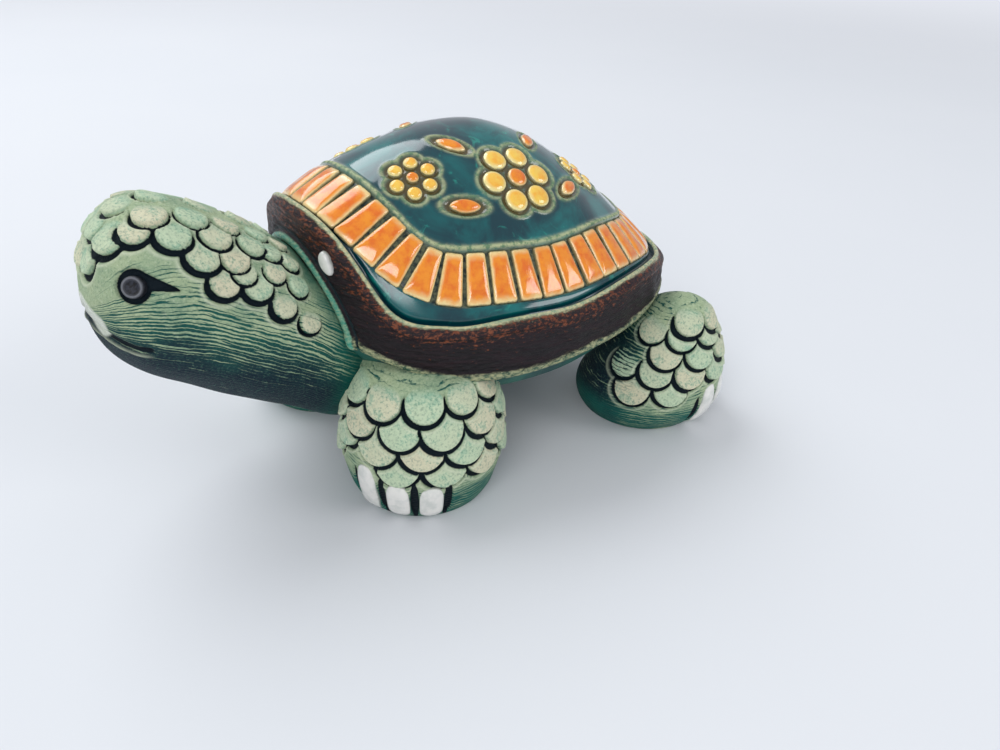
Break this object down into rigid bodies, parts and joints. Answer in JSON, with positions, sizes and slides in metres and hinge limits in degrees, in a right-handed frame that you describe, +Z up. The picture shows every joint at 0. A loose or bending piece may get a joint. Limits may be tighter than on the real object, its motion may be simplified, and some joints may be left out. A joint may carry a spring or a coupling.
{
  "type": "turtle figurine",
  "caption": "Hand-built ceramic turtle: hollow glazed dome shell with tiled border and flowers, brown rim band, scaled head and legs.",
  "frame": {"origin": "centre of the bounding box at the plane of the feet", "axes": "+Z up, head towards -Y, the turtle's left side towards +X"},
  "size_m": [0.0996, 0.135, 0.0685],
  "materials": {
    "dome_glaze": "thick glossy teal glaze over carved clay",
    "brown_stain": "dark brown oxide, brushed and nearly matt",
    "green_stain": "sage green wash, dark teal in the carved lines",
    "white_slip": "white slip",
    "eye_slip": "dark slip with a pale worn edge",
    "white_glaze": "white glaze",
    "orange_glaze": "glossy orange glaze, cream where it runs thin at the edges",
    "yellow_glaze": "glossy yellow glaze"
  },
  "bodies": {
    "root": {"carapace": "dome_glaze", "shell_rim": "brown_stain", "rim_inlay": "white_slip", "plastron": "green_stain", "head_and_neck": "green_stain", "left_eye": "eye_slip", "right_eye": "eye_slip", "front_left_leg": "green_stain", "front_right_leg": "green_stain", "rear_left_leg": "green_stain", "rear_right_leg": "green_stain", "front_left_claws": "white_glaze", "front_right_claws": "white_glaze", "rear_left_claws": "white_glaze", "rear_right_claws": "white_glaze", "tail": "green_stain", "border_tiles": "orange_glaze", "flower_petals": "yellow_glaze", "flower_hearts": "orange_glaze", "leaves": "orange_glaze"}
  },
  "joints": []
}
